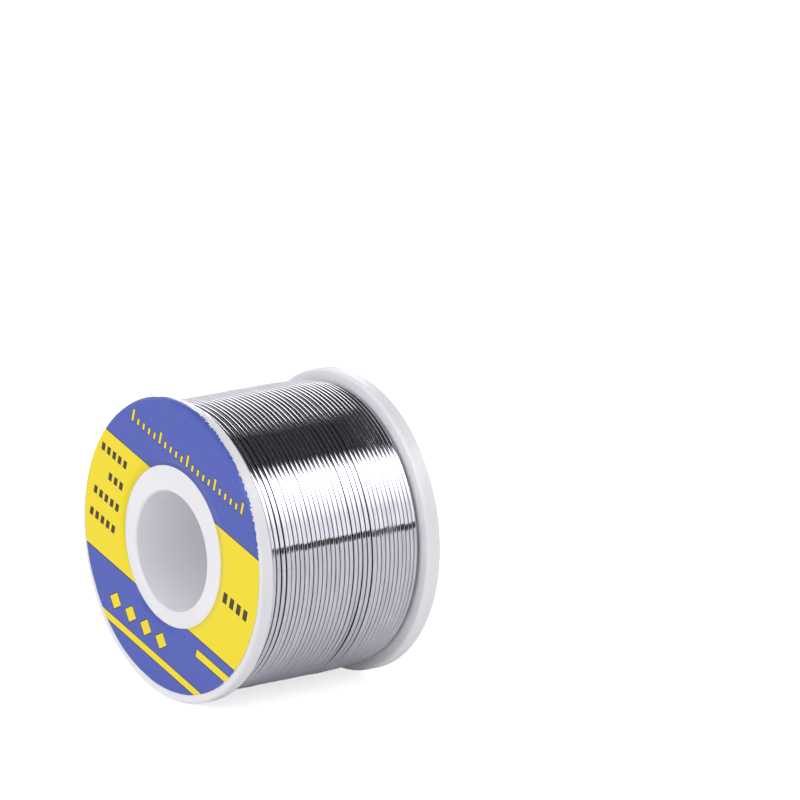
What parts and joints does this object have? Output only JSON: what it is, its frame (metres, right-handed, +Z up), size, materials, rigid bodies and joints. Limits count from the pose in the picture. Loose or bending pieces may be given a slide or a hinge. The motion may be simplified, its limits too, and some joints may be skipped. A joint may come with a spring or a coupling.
{
  "type": "solder wire spool",
  "caption": "Small flanged spool wound full of fine solder wire, lying on its rims, with a smooth bore for a stand's spindle and a ring label on each flange.",
  "frame": {"origin": "on the bench, under the spool's axis and midway between its flanges", "axes": "+Y along the spool's level axis towards the rear flange, +Z up"},
  "size_m": [0.046, 0.0336, 0.0462],
  "materials": {
    "white_moulding": "smooth white moulding",
    "label_stock": "glossy printed label",
    "solder": "bright drawn tin-lead wire",
    "tab_paper": "matt paper"
  },
  "bodies": {
    "root": {"front_half": "white_moulding", "rear_half": "white_moulding", "front_label": "label_stock", "rear_label": "label_stock", "solder_inner_layers": "solder", "solder_outer_layer": "solder", "end_tab": "tab_paper"}
  },
  "joints": []
}
